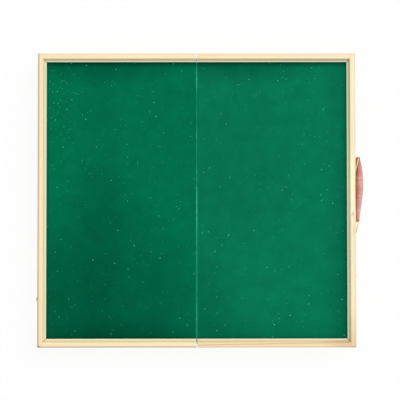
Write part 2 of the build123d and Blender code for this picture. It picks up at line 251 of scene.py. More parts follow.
innerWood = {
    **railWood,
    "pale": (0.68, 0.50, 0.30),
    "late": (0.46, 0.27, 0.12),
    "end": (0.42, 0.27, 0.14),
    "pith": (-0.09, 0.12, 0.13),
    "ringGap": 5.5 * mm,
    "ringStrength": 0.5,
    "bands": 0.3,
    "fibre": 0.3,
    "tone": 0.2,
    "rough": 0.72,
    "grainHeight": 0.25 * mm,
    "edge": 0.8 * mm,
    "side": (1.0, 1.0, 1.0),
    "places": (),
    "marks": (),
}


def woodGrain(tree, look, axis):
    grain, bandGrain = [1.0, 1.0, 1.0], [1.0, 1.0, 1.0]
    along = "XYZ".index(axis)
    grain[along], bandGrain[along] = look["stretch"]
    own = times(tree, addNode(tree, "ObjectInfo").outputs["Random"], look["ownPlace"])
    start = addNode(tree, "VectorMath", {0: objectPlace(tree), 1: own}, operation="ADD").outputs[0]
    place = addNode(tree, "Mapping", {"Vector": start, "Location": look["pith"], "Scale": grain}).outputs[0]

    # growth rings run round a pith outside the board; at scale 1 the texture has 20 in 2 pi metres
    rings = addNode(tree, "TexWave", {
        "Vector": place, "Scale": 2 * math.pi / 20 / look["ringGap"], "Distortion": look["ringWarp"],
        "Detail": 3.0, "Detail Scale": 0.35, "Detail Roughness": 0.6,
    }, wave_type="RINGS", rings_direction=axis, wave_profile="SAW").outputs["Fac"]
    late = spread(tree, rings, 0.5, 1.0)
    bandPlace = addNode(tree, "Mapping", {"Vector": start, "Scale": bandGrain}).outputs[0]
    bands = spread(tree, cloudy(tree, bandPlace, 1 / look["bandGap"], 1.5), 0.40, 0.66)
    fibres = cloudy(tree, place, look["fibreScale"], 5.0, 0.65)
    pores = spread(tree, cloudy(tree, place, look["poreScale"], 2.0), 0.62, 0.74)
    tone = cloudy(tree, place, look["toneScale"], 3.0)

    colour = mixColour(tree, times(tree, late, look["ringStrength"]), look["pale"], look["late"])
    colour = mixColour(tree, times(tree, bands, look["bands"]), colour, look["late"])
    streak = times(tree, spread(tree, fibres, 0.42, 0.72), look["fibre"])
    colour = mixColour(tree, streak, colour, look["late"])
    colour = mixColour(tree, times(tree, pores, look["fibre"]), colour, look["late"], "MULTIPLY")
    colour = scaled(tree, colour, spread(tree, tone, 0.0, 1.0, 1.0 - look["tone"], 1.0 + look["tone"]))
    return colour, late, fibres


def addStripes(tree, look, colour, fromSeam, fromMiddle):
    for inside, half, slope, strength in look["stripes"]:
        wave = minus(tree, cloudy(tree, objectPlace(tree, (9, 0.1, 0.1)), 1.0, 3.0), 0.5)
        line = plus(tree, minus(tree, fromMiddle, outerY - inside), times(tree, fromSeam, slope))
        line = sizeOf(tree, plus(tree, line, times(tree, wave, look["stripeSway"])))
        colour = mixColour(tree, spread(tree, line, half, 0.2 * half, 0.0, strength), colour, look["stripe"])
    return colour


def addMarks(tree, look, colour, spot, upwards):
    # sun, hands and knocks have left their places and marks on top; one place is the painted shadow of the grip
    for x, y, reachX, reachY, tint in look["places"]:
        there = times(tree, nearSpot(tree, spot, x, y, reachX, reachY), upwards)
        colour = mixColour(tree, there, colour, tint, "MULTIPLY")
    for x, y, reachX, reachY, strength in look["marks"]:
        there = times(tree, nearSpot(tree, spot, x, y, reachX, reachY), upwards)
        broken = cloudy(tree, objectPlace(tree), look["markScale"], 3.0)
        dirt = times(tree, there, spread(tree, broken, 0.35, 0.6, 0.3 * strength, strength))
        colour = scaled(tree, colour, minus(tree, 1.0, dirt))
    return mixColour(tree, minus(tree, 1.0, upwards), colour, look["side"], "MULTIPLY")


def addLedge(tree, look, colour, axis, spot, up):
    fromSeam, fromMiddle = boardPlace(tree, spot)
    low = calc(tree, "LESS_THAN", spot[2], wallTop - look["ledgeDrop"])
    flat = times(tree, low, spread(tree, up, 0.85, 0.98))
    colour = mixColour(tree, times(tree, flat, look["ledgeStrength"]), colour, look["ledge"])
    acrossX, acrossY = minus(tree, fromSeam, openX), minus(tree, fromMiddle, openY)
    inwards = acrossX if axis == "Y" else acrossY
    # painted green light reflected from the felt
    feltReflected = spread(tree, inwards, *look["feltReflectionReach"], 0.0, look["feltReflectionAmount"][axis])
    colour = mixColour(tree, times(tree, flat, feltReflected), colour, look["feltReflection"])
    corner = sizeOf(tree, minus(tree, acrossX, acrossY))
    line = spread(tree, corner, *look["mitreReach"], 0.0, look["mitreStrength"])
    return mixColour(tree, line, colour, look["mitre"])


def addSeamLightAndRimShade(tree, look, colour, spot, up, rounded):
    # painted light on the ends at the seam, and a rounder outside with painted shade and some dirt
    fromSeam, fromMiddle = boardPlace(tree, spot)
    # painted light on the rail ends at the seam
    nearSide = calc(tree, "LESS_THAN", spot[1], 0.0)
    pastEnd = plus(tree, fromSeam, times(tree, nearSide, look["seamEndLightNear"]))
    atSeam = spread(tree, pastEnd, *look["seamEndLightReach"], 0.0, look["seamEndLightStrength"])
    colour = mixColour(tree, atSeam, colour, look["seamEndLight"])
    wide = softEdges(tree, look["outerEdge"])[0]
    inX, inY = minus(tree, outerX, fromSeam), minus(tree, outerY, fromMiddle)
    outside = calc(tree, "LESS_THAN", calc(tree, "MINIMUM", inX, inY), look["outerStrip"])
    rounded = addNode(tree, "Mix", {0: outside, 4: rounded, 5: wide}, data_type="VECTOR").outputs[1]
    sides = ((inX, minus(tree, spot[0], seamX), "left", "right"), (inY, spot[1], "near", "far"))
    for inwards, way, below, above in sides:
        beyond = calc(tree, "GREATER_THAN", way, 0.0)
        strength = addNode(tree, "MapRange", {0: beyond, 3: look["rimShadeAndDirt"][below], 4: look["rimShadeAndDirt"][above]}).outputs[0]
        # painted shade and some dirt near the outside, strongest on the left and near sides
        worn = times(tree, strength, spread(tree, inwards, *look["rimShadeReach"]))
        worn = times(tree, worn, spread(tree, up, 0.3, 0.8))
        colour = mixColour(tree, worn, colour, look["rimShadeTint"], "MULTIPLY")
    return colour, rounded


def makeWood(name, look, axis):
    mat, tree, skin = startMaterial(name)
    colour, late, fibres = woodGrain(tree, look, axis)
    spot = split(tree, objectPlace(tree))
    normal = facing(tree)
    colour = addStripes(tree, look, colour, *boardPlace(tree, spot))
    colour = addMarks(tree, look, colour, spot, spread(tree, normal["Z"], 0.05, 0.35))
    if "ledge" in look:
        colour = addLedge(tree, look, colour, axis, spot, normal["Z"])

    # the sawn ends show darker, closer grain
    ended = spread(tree, sizeOf(tree, normal[axis]), 0.75, 0.95)
    endColour = mixColour(tree, late, look["end"], look["late"])
    colour = mixColour(tree, times(tree, ended, look["endStrength"]), colour, endColour)

    rounded, edges = softEdges(tree, look["edge"])
    colour = mixColour(tree, times(tree, edges, look["edgeShade"]), colour, look["late"], "MULTIPLY")
    if look is not innerWood:
        colour, rounded = addSeamLightAndRimShade(tree, look, colour, spot, normal["Z"], rounded)
    height = minus(tree, times(tree, fibres, 0.6), times(tree, late, 0.3))
    least, most = look["rough"] - look["roughChange"], look["rough"] + look["roughChange"]
    feed(tree, skin, {
        "Base Color": colour,
        "Normal": bumped(tree, height, look["grainHeight"], 0.7, rounded),
        "Roughness": spread(tree, fibres, 0.0, 1.0, least, most),
        "Specular IOR Level": look["gloss"],
    })
    return mat


plyWood = {
    "pale": (0.66, 0.49, 0.30),
    "dark": (0.45, 0.29, 0.15),
    "glue": (0.22, 0.13, 0.07),
    "ply": 1.33 * mm,
    "grain": (0.9, 0.08, 1.0),
    "figureScale": 60.0,
    "figureBands": 6.0,
    "bandDark": 0.55,
    "fibreDark": 0.4,
    "fibreScale": 1400.0,
    "fibreHeight": 0.15 * mm,
    "rough": 0.7,
    "gloss": 0.25,
}


def makePly(name, look):
    mat, tree, skin = startMaterial(name)
    place = objectPlace(tree, look["grain"])
    figure = cloudy(tree, place, look["figureScale"], 4.0, distortion=1.4)
    fibres = cloudy(tree, place, look["fibreScale"], 3.0)
    bands = calc(tree, "FRACT", times(tree, figure, look["figureBands"]))
    colour = mixColour(tree, times(tree, bands, look["bandDark"]), look["pale"], look["dark"])
    colour = mixColour(tree, times(tree, fibres, look["fibreDark"]), colour, look["dark"], "MULTIPLY")

    # the plies show on the panel's edge
    height = split(tree, objectPlace(tree))["Z"]
    layer = calc(tree, "FRACT", calc(tree, "DIVIDE", height, look["ply"]))
    middle = spread(tree, sizeOf(tree, minus(tree, layer, 0.5)), 0.1, 0.45)
    edge = mixColour(tree, middle, look["pale"], look["glue"])
    upright = spread(tree, sizeOf(tree, facing(tree)["Z"]), 0.5, 0.2)
    feed(tree, skin, {
        "Base Color": mixColour(tree, upright, colour, edge),
        "Normal": bumped(tree, fibres, look["fibreHeight"], 0.6),
        "Roughness": look["rough"],
        "Specular IOR Level": look["gloss"],
    })
    return mat


railAcross = makeWood("railWoodAcross", railWood, "X")
railAlong = makeWood("railWoodAlong", railWood, "Y")
railWarm = makeWood("railWoodWarm", warmWood, "X")
trimAcross = makeWood("trimWoodAcross", trimWood, "X")
trimAlong = makeWood("trimWoodAlong", trimWood, "Y")
innerAcross = makeWood("innerWoodAcross", innerWood, "X")
innerAlong = makeWood("innerWoodAlong", innerWood, "Y")
innerUpright = makeWood("innerWoodUpright", innerWood, "Z")
panelPly = makePly("panelPly", plyWood)
print("wood made")


# metal and rubber

brassLook = {
    "bright": (0.93, 0.73, 0.40),
    "dull": (0.58, 0.43, 0.21),
    "rough": 0.24,
    "worn": 0.45,
    "edge": 0.25 * mm,
    "brush": (1, 1, 1),
}
hingeLook = {
    "bright": (0.66, 0.64, 0.60),
    "dull": (0.34, 0.31, 0.27),
    "rough": 0.33,
    "worn": 0.5,
    "edge": 0.25 * mm,
    "brush": (1, 0.08, 1),
}
latchLook = {
    "bright": (0.63, 0.60, 0.55),
    "dull": (0.30, 0.27, 0.24),
    "rough": 0.34,
    "worn": 0.5,
    "edge": 0.3 * mm,
    "brush": (1, 1, 0.2),
}
metalSkin = {
    "cloudScale": 120.0,
    "lineScale": 2600.0,
    "lineRough": 0.14,
    "lineHeight": 0.02 * mm,
    "tarnishRough": 0.45,
    "edgeBright": 0.4,          # how much of the tarnish is rubbed off the edges
}
rubberLook = {
    "black": (0.022, 0.022, 0.022),
    "dusty": (0.10, 0.095, 0.085),
    "dust": 0.5,
    "speckScale": 900.0,
    "speckHeight": 0.08 * mm,
    "rough": 0.75,
}


def makeMetal(name, look):
    mat, tree, skin = startMaterial(name)
    cloud = cloudy(tree, objectPlace(tree), metalSkin["cloudScale"], 5.0, 0.7)
    lines = cloudy(tree, objectPlace(tree, look["brush"]), metalSkin["lineScale"], 2.0)
    rounded, edges = softEdges(tree, look["edge"])
    tarnish = times(tree, spread(tree, cloud, 0.45, 0.75), look["worn"])
    tarnish = calc(tree, "SUBTRACT", tarnish, times(tree, edges, metalSkin["edgeBright"]), clamp=True)
    lineRough = metalSkin["lineRough"]
    rough = plus(tree, times(tree, tarnish, metalSkin["tarnishRough"]), times(tree, lines, lineRough))
    feed(tree, skin, {
        "Base Color": mixColour(tree, tarnish, look["bright"], look["dull"]),
        "Normal": bumped(tree, lines, metalSkin["lineHeight"], 0.4, rounded),
        "Roughness": plus(tree, rough, look["rough"] - lineRough / 2),
        "Metallic": 1.0,
    })
    return mat


def makeRubber(name, look):
    mat, tree, skin = startMaterial(name)
    speck = cloudy(tree, objectPlace(tree), look["speckScale"], 4.0)
    dust = spread(tree, speck, 0.5, 0.75, 0.0, look["dust"])
    feed(tree, skin, {
        "Base Color": mixColour(tree, dust, look["black"], look["dusty"]),
        "Normal": bumped(tree, speck, look["speckHeight"], 0.5),
        "Roughness": look["rough"],
    })
    return mat


brass = makeMetal("brassPolished", brassLook)
hingeSteel = makeMetal("hingeSteelPlated", hingeLook)
latchSteel = makeMetal("latchNickelDull", latchLook)
rubber = makeRubber("footRubberBlack", rubberLook)

finishes = {
    "outer_wall": railAlong, "far_wall": railAcross, "near_wall": railAcross,
    "outer_trim": trimAlong, "far_trim": trimAcross, "near_trim": trimAcross,
    "seam_wall": innerAlong, "centre_rib": innerAcross, "corner_blocks": innerUpright,
    "panel": panelPly, "feet": rubber, "hinge_screws": hingeSteel,
    "handle_plate": brass, "plate_screws": brass, "ring": brass,
}
for name, piece in nodes.items():
    tail = name.split("_", 1)[1]
    chosen = finishes.get(tail, hingeSteel if "hinge" in name else latchSteel)
    piece.data.materials.clear()
    piece.data.materials.append(chosen)
nodes["right_near_wall"].data.materials[0] = railWarm
print("finishes given to the frame's own pieces")


# felt, with its lint and its cut edge at the seam

feltLook = {
    "left": {
        "green": (0.0012, 0.188, 0.0875),
        "deep": (0.0006, 0.115, 0.0525),
        # painted shade that the rails cast on the felt beside them: reach, strength
        "railShade": {"far": (13.5 * mm, 0.52), "near": (8.0 * mm, 0.28), "outer": (6.0 * mm, 0.25)},
        # painted shade in darker places, mostly near the rails, partly the felt's own uneven nap: x and y from the
        # seam's middle, radii in x and y, strength
        "shadePatches": (
            (-0.192, -0.256, 0.250, 0.300, -0.30), (-0.147, -0.320, 0.250, 0.100, -0.36),
            (-0.192, 0.320, 0.250, 0.100, -0.34), (-0.192, 0.000, 0.090, 0.100, -0.13),
            (-0.192, 0.064, 0.050, 0.500, -0.07), (-0.270, -0.200, 0.150, 0.160, -0.09),
        ),
    },
    "right": {
        "green": (0.0036, 0.208, 0.103),
        "deep": (0.0014, 0.140, 0.066),
        "railShade": {"far": (13.5 * mm, 0.50), "near": (8.0 * mm, 0.25), "outer": (14.0 * mm, 0.14)},
        "shadePatches": (
            (0.155, -0.320, 0.250, 0.100, -0.20), (0.336, -0.256, 0.090, 0.500, -0.26),
            (0.065, 0.320, 0.250, 0.100, -0.40), (-0.026, -0.320, 0.150, 0.300, -0.25),
            (0.065, 0.064, 0.150, 0.180, -0.08), (0.336, 0.320, 0.090, 0.500, -0.16),
        ),
    },
}
feltSkin = {
    "fibreScale": 2200.0,
    "fibreHeight": 0.35 * mm,
    "cloudScale": 34.0,
    "cloudLight": (0.92, 1.10),
    "sheen": 0.12,
    "sheenTint": (0.03, 0.5, 0.3),
}
seamWear = {
    "pale": (0.02, 0.44, 0.27),
    "line": (0.7 * mm, -0.7 * mm),
    "wander": 1.6 * mm,
    "wanderScale": 170.0,
    "amount": (0.15, 0.72),
    "amountScale": 28.0,
    # where it is rubbed most: y, reach, how much more
    "most": ((0.248, 0.034, 0.5), (-0.018, 0.062, 0.6), (-0.224, 0.022, 0.18)),
    "bright": (0.045, 0.66, 0.44),
    # a wider, fainter band on the near part: reach from the seam, along the board, strength
    "wide": (3.4 * mm, 0.6 * mm),
    "wideAlong": (0.02, -0.08),
    "wideStrength": 0.20,
    "seamGapLight": (0.90, 0.80, 0.82),         # painted light under the far rail's ends, where the gap between the halves shows pale
    "seamGapLightReach": (2.2 * mm, 1.3 * mm),
    "seamGapLightUnder": 0.2 * mm,
}
lintColours = {"lint": (0.16, 0.95, 0.74), "fuzz": (0.03, 0.40, 0.25), "shade": 0.7, "toneScale": 90.0}


def rubSeam(tree, colour, place, spot, fromSeam):
    # the cut edge at the seam is rubbed pale, here and there more
    wear = seamWear
    wander = times(tree, cloudy(tree, place, wear["wanderScale"], 3.0), wear["wander"])
    rubbed = spread(tree, minus(tree, fromSeam, wander), *wear["line"])
    amount = spread(tree, cloudy(tree, place, wear["amountScale"], 4.0, 0.7), 0.35, 0.68, *wear["amount"])
    most = 0.0
    for y, length, more in wear["most"]:
        most = plus(tree, most, times(tree, nearSpot(tree, spot, 0.0, y, 1.0, length), more))
    nearPart = times(tree, spread(tree, spot[1], *wear["wideAlong"]), wear["wideStrength"])
    wide = times(tree, spread(tree, fromSeam, *wear["wide"]), nearPart)
    colour = mixColour(tree, wide, colour, wear["pale"])
    colour = mixColour(tree, times(tree, rubbed, amount), colour, wear["pale"])
    colour = mixColour(tree, calc(tree, "MULTIPLY", rubbed, most, clamp=True), colour, wear["bright"])
    # painted light on the felt under the far rail's ends at the seam
    underRail = calc(tree, "GREATER_THAN", spot[1], openY - wear["seamGapLightUnder"])
    seamGapLight = times(tree, underRail, spread(tree, fromSeam, *wear["seamGapLightReach"]))
    return mixColour(tree, seamGapLight, colour, wear["seamGapLight"])


def makeFelt(name, look):
    mat, tree, skin = startMaterial(name)
    place = objectPlace(tree)
    fibres = cloudy(tree, place, feltSkin["fibreScale"], 3.0, 0.6)
    cloud = cloudy(tree, place, feltSkin["cloudScale"], 5.0, 0.62)
    colour = mixColour(tree, spread(tree, fibres, 0.3, 0.7), look["green"], look["deep"])
    light = spread(tree, cloud, 0.2, 0.8, *feltSkin["cloudLight"])

    spot = split(tree, place)
    # painted shade in the darker places
    for x, y, reachX, reachY, strength in look["shadePatches"]:
        patchShade = times(tree, nearSpot(tree, spot, x, y, reachX, reachY), strength)
        light = times(tree, light, plus(tree, patchShade, 1.0))
    fromSeam = boardPlace(tree, spot)[0]
    toRail = {
        "far": minus(tree, openY, spot[1]),
        "near": plus(tree, spot[1], openY),
        "outer": minus(tree, openX, fromSeam),
    }
    # painted shade beside the rails
    for rail, (reach, strength) in look["railShade"].items():
        light = times(tree, light, spread(tree, toRail[rail], 0.0, reach, 1.0 - strength, 1.0))
    colour = rubSeam(tree, scaled(tree, colour, light), place, spot, fromSeam)
    feed(tree, skin, {
        "Base Color": colour,
        "Normal": bumped(tree, fibres, feltSkin["fibreHeight"], 0.55),
        "Roughness": 1.0,
        "Specular IOR Level": 0.0,
        "Sheen Weight": feltSkin["sheen"],
        "Sheen Roughness": 0.5,
        "Sheen Tint": rgb(feltSkin["sheenTint"]),
    })
    return mat


def makeLint(name, colour):
    mat, tree, skin = startMaterial(name)
    tone = spread(tree, cloudy(tree, objectPlace(tree), lintColours["toneScale"], 2.0), 0.3, 0.7)
    shade = [c * lintColours["shade"] for c in colour]
    feed(tree, skin, {
        "Base Color": mixColour(tree, tone, colour, shade),
        "Roughness": 1.0,
        "Specular IOR Level": 0.0,
    })
    return mat


feltShape = {
    "cell": 5.0 * mm,
    "wave": 0.10 * mm,          # how much the glued cloth rises and sinks
    "lift": 0.06 * mm,
    "held": 6 * mm,             # this close to its outer edges the cloth is pressed flat
    "edgeSteps": (0.0, 0.12 * mm, 0.35 * mm, 0.8 * mm, 1.8 * mm),
    "edgeRound": 0.8 * mm,
    "edgeSink": 0.35,
    "edgeWander": 0.008 * mm,
    "edgeGap": 0.004 * mm,      # half the gap that is left between the two cut edges
    "margin": 8 * mm,           # lint and fuzz keep this far from the rails
    "seamMargin": 2 * mm,
}
lintShape = {
    "left": 380,
    "right": 260,
    "small": 0.42 * mm,
    "large": 1.75 * mm,
    "rare": 4.8,                # the higher, the fewer large tufts
    "thick": (0.12 * mm, 0.24 * mm),
    "steps": 5,
    "tuftCurl": 5.0,
    "corner": (-0.280, 0.215, 0.030, 0.080),    # where the left half has most: x, y and spread
    "inCorner": {"left": 0.38, "right": 0.0},
    "hairs": 70,
    "hairLength": (2.0 * mm, 6.0 * mm),
    "hairCurl": 1.5,
    "hairThin": 0.8,
    "seed": 5,
}
fuzzShape = {
    "count": 700,
    "inside": (0.1, 1.2),       # where a fibre starts, in millimetres from the cut edge
    "deep": (0.0, 0.25),
    "way": ((0.1, 1.0), (-1.2, 1.2), (-0.1, 0.5)),      # over the seam, along it and up
    "length": (0.3, 0.9),
    "arch": (0, 0.12),
    "thick": (0.03, 0.06),
    "clear": 0.02 * mm,         # its tip stays this far from the seam's middle
}


def tubeFaces(first, rows, around, inwards=False, closed=False):
    # quads round rows of points; a closed tube joins its last row to the first
    faces = []
    for j in range(rows if closed else rows - 1):
        a, b = first + j * around, first + (j + 1) % rows * around
        for i in range(around):
            k = (i + 1) % around
            faces.append((a + i, a + k, b + k, b + i) if inwards else (a + i, b + i, b + k, a + k))
    return faces


def addThread(verts, faces, points, radius):
    # a fine three sided strand along a few points
    first, count = len(verts), len(points)
    for i, point in enumerate(points):
        ahead = points[min(i + 1, count - 1)] - points[max(i - 1, 0)]
        side = ahead.cross(Vector((0, 0, 1))).normalized()
        thin = radius * (1.0 if 0 < i < count - 1 else 0.4)
        verts += [point + side * thin, point - side * thin, point + Vector((0, 0, thin * 1.2))]
    faces += tubeFaces(first, count, 3, inwards=True)
    last = first + 3 * (count - 1)
    faces += [(first, first + 1, first + 2), (last + 2, last + 1, last)]


def makeMesh(name, verts, faces, mats, ownMaterial=None):
    mesh = bpy.data.meshes.new(name)
    mesh.from_pydata([tuple(v) for v in verts], [], faces)
    for mat in mats:
        mesh.materials.append(mat)
    if ownMaterial:
        mesh.polygons.foreach_set("material_index", ownMaterial)
    mesh.polygons.foreach_set("use_smooth", [True] * len(mesh.polygons))
    mesh.update()
    piece = bpy.data.objects.new(name, mesh)
    bpy.context.scene.collection.objects.link(piece)
    return piece


def feltHeight(x, y, top):
    wave = noise.noise(Vector((x, y, 0.3)) * 22) + 0.5 * noise.noise(Vector((x, y, 1.7)) * 60)
    return top + feltShape["lift"] + feltShape["wave"] * (wave - 0.6)


def feltPlan(side):
    low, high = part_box(side + "_felt")
    inwards = -1 if side == "left" else 1       # from the seam into this half
    edgeX = seamX + inwards * feltShape["edgeGap"]
    width = abs((low.x if side == "left" else high.x) - edgeX)
    return low, high, inwards, edgeX, width


def feltColumns(width):
    columns = list(feltShape["edgeSteps"])
    start = columns[-1]
    count = round((width - start) / feltShape["cell"])
    return columns + [start + (width - start) * (i + 1) / count for i in range(count)]


def feltSheet(side):
    low, high, inwards, edgeX, width = feltPlan(side)
    shape, held = feltShape, feltShape["held"]
    columns = feltColumns(width)
    rows = round((high.y - low.y) / shape["cell"])
    verts, faces = [], []
    for j in range(rows + 1):
        y = low.y + (high.y - low.y) * j / rows
        ragged = noise.noise(Vector((0, y * 160, 4))) + noise.noise(Vector((0, y * 500, 2)))
        wander = shape["edgeWander"] * abs(ragged)
        for distance in columns:
            ease = max(0.0, 1 - distance / shape["edgeRound"])
            x = edgeX + inwards * (distance + wander * ease)
            z = feltHeight(x, y, high.z)
            z -= (high.z - low.z) * shape["edgeSink"] * ease ** 2.2
            free = min(width - distance, y - low.y, high.y - y) >= held
            verts.append(Vector((x, y, z if free else min(z, high.z))))
    wide = len(columns)
    for j in range(rows):
        for i in range(wide - 1):
            a = j * wide + i
            faces.append((a, a + 1, a + wide + 1, a + wide))

    # close the sheet underneath, on the panel
    rim = [j * wide for j in range(rows, 0, -1)] + list(range(wide))
    rim += [j * wide + wide - 1 for j in range(1, rows + 1)]
    rim += [rows * wide + i for i in range(wide - 2, 0, -1)]
    under = len(verts)
    verts += [Vector((verts[i].x, verts[i].y, low.z)) for i in rim]
    for k, top in enumerate(rim):
        after = (k + 1) % len(rim)
        faces.append((top, under + k, under + after, rim[after]))
    faces.append(tuple(under + k for k in range(len(rim) - 1, -1, -1)))
    return verts, faces if side == "right" else [face[::-1] for face in faces]


def layLint(side, rand, verts, faces):
    # tufts of lint, thicker in one corner of the left half, and a few long hairs
    low, high, inwards, edgeX, width = feltPlan(side)
    lint, margin, seamMargin = lintShape, feltShape["margin"], feltShape["seamMargin"]

    def strand(x, y, size, thick, curl):
        steps = lint["steps"]
        turn = rand.random() * math.tau
        bend = rand.uniform(-curl, curl)
        points = [Vector((x, y, 0))]
        for step in range(steps):
            turn += bend / steps + rand.uniform(-0.3, 0.3)
            points.append(points[-1] + Vector((math.cos(turn), math.sin(turn), 0)) * size / steps)
        for k, p in enumerate(points):
            rise = 0.1 + 0.9 * math.sin(math.pi * k / steps) * rand.random()
            p.z = feltHeight(p.x, p.y, high.z) + thick * rise
        addThread(verts, faces, points, thick)

    def feltSpot(inCorner):
        while rand.random() < inCorner:
            cornerX, cornerY, spreadX, spreadY = lint["corner"]
            x, y = rand.gauss(seamX + cornerX, spreadX), rand.gauss(cornerY, spreadY)
            if low.x + margin < x < edgeX - seamMargin and low.y + margin < y < high.y - margin:
                return x, y
        x = edgeX + inwards * (seamMargin + rand.random() * (width - margin - seamMargin))
        return x, low.y + margin + rand.random() * (high.y - low.y - 2 * margin)

    for k in range(lint[side]):
        x, y = feltSpot(lint["inCorner"][side])
        size = lint["small"] + (lint["large"] - lint["small"]) * rand.random() ** lint["rare"]
        for n in range(3 + int(4 * size / mm)):
            offX, offY = rand.gauss(0, size / 7), rand.gauss(0, size / 7)
            strand(x + offX, y + offY, size * rand.uniform(0.5, 1.0), rand.uniform(*lint["thick"]), lint["tuftCurl"])
    for k in range(lint["hairs"]):
        x, y = feltSpot(0.0)
        strand(x, y, rand.uniform(*lint["hairLength"]), lint["thick"][0] * lint["hairThin"], lint["hairCurl"])


def addFuzz(side, rand, verts, faces):
    # short fibres standing out of the cut edge
    low, high, inwards, edgeX = feltPlan(side)[:4]
    fuzz, margin = fuzzShape, feltShape["margin"]
    for k in range(fuzz["count"]):
        y = low.y + margin + rand.random() * (high.y - low.y - 2 * margin)
        x = edgeX + inwards * rand.uniform(*fuzz["inside"]) * mm
        start = Vector((x, y, high.z - rand.uniform(*fuzz["deep"]) * mm))
        over, along, up = [rand.uniform(*limits) for limits in fuzz["way"]]
        way = Vector((-inwards * over, along, up))
        tip = start + way * rand.uniform(*fuzz["length"]) * mm
        keepOff = seamX + inwards * fuzz["clear"]
        tip.x = min(tip.x, keepOff) if side == "left" else max(tip.x, keepOff)
        middle = (start + tip) / 2 + Vector((0, 0, rand.uniform(*fuzz["arch"]) * mm))
        addThread(verts, faces, [start, middle, tip], rand.uniform(*fuzz["thick"]) * mm)


def feltPiece(side, materials):
    verts, faces = feltSheet(side)
    owner = [0] * len(faces)
    rand = random.Random(lintShape["seed"] + (side == "right"))
    for number, addFibres in ((1, layLint), (2, addFuzz)):
        addFibres(side, rand, verts, faces)
        owner += [number] * (len(faces) - len(owner))
    piece = makeMesh(side + "_felt_cloth", verts, faces, materials, owner)
    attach(piece, side + "_half")
    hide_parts(side + "_felt")


lint = makeLint("lintPale", lintColours["lint"])
fuzz = makeLint("fuzzGreen", lintColours["fuzz"])
for side in ("left", "right"):
    feltPiece(side, [makeFelt(side + "FeltGreen", feltLook[side]), lint, fuzz])
print("felt laid")


# the leather grip

gripShape = {
    "length": 126.0 * mm,
    "place": (319.741 * mm, 21.319 * mm, 21.2 * mm),
    "back": 2.8 * mm,
    "height": 24.0 * mm,
    "neck": 26.0 * mm,
    "wireGap": 0.1 * mm,        # from the body's end face to the loop's bore
    "loopHeight": 17.0 * mm,
    "loopBore": 1.9 * mm,
    "loopOuter": 3.2 * mm,
    "loopEase": 0.45 * mm,
    "loopShort": 0.02 * mm,     # the loops end just inside the grip's own height
    "loopTurns": 40,
    "tilt": math.asin(0.6 / 63.0),
    "around": 56,
    "stations": 240,
    "squareness": 3.2,
    "fullness": 7.1 * mm,
    "lean": 0.42,               # how much fuller it is towards the far end
    "crease": 0.62 * mm,
    "folds": (12.6 * mm, 8.6 * mm, 3.4 * mm, 25.0 * mm, -20.0 * mm),
    "smallCreases": 16,
    "seed": 11,
}
seamShape = {
    "inset": 3.0 * mm,          # from the top and bottom edges of the grip
    "channel": 0.45 * mm,
    "channelWidth": 0.9 * mm,
    "endMargin": 16 * mm,
    "gap": 3.4 * mm,
    "length": 2.3 * mm,
    "radius": 0.38 * mm,
    "proud": 0.12 * mm,
    "around": 8,
    "steps": 7,
}
leatherLook = {
    "skin": (0.63, 0.245, 0.205),
    "deep": (0.30, 0.075, 0.055),
    "worn": (0.82, 0.42, 0.37),
    "blush": (0.70, 0.34, 0.38),       # paler and pinker towards the near end
    "ridgeHighlight": (0.95, 0.62, 0.55),       # rubbed beside the folds
    # painted shade at the far end, where the body meets its loop
    "ends": (0.42, 0.08, 0.07),
    "tip": (0.93, 0.62, 0.62),         # painted highlight where it turns round the far ring
    # two places along the grip, counted from its middle towards the far end, and the strength at each
    "blushed": (20 * mm, -30 * mm, 0.0, 0.6),
    "ended": (54 * mm, 61 * mm, 0.0, 0.8),
    "tipped": (63.6 * mm, 65.2 * mm, 0.0, 0.85),
    "gripBackShadowAlong": (-48 * mm, -15 * mm, 0.05, 0.20),
    "shaded": (-20 * mm, 20 * mm, 0.1, 0.34),
    "gripBackShadowSide": (-0.6 * mm, -2.8 * mm),    # painted shadow of the rail on the grip's back, from none to full, towards the rail
    "creaseShade": 0.5,                    # painted shade in the folds, and painted highlight beside them
    "ridgeHighlightStrength": 0.25,
    "pebbleScale": 1050.0,
    "crackScale": 520.0,
    "cloudScale": 75.0,
    "grainHeight": 0.22 * mm,
    "rough": (0.52, 0.36),
}
threadLook = {"cotton": (0.50, 0.30, 0.20), "shade": 0.5, "twistScale": 900.0, "twistHeight": 0.08 * mm}
gripEnd = gripShape["length"] / 2 - gripShape["loopBore"] - gripShape["wireGap"]


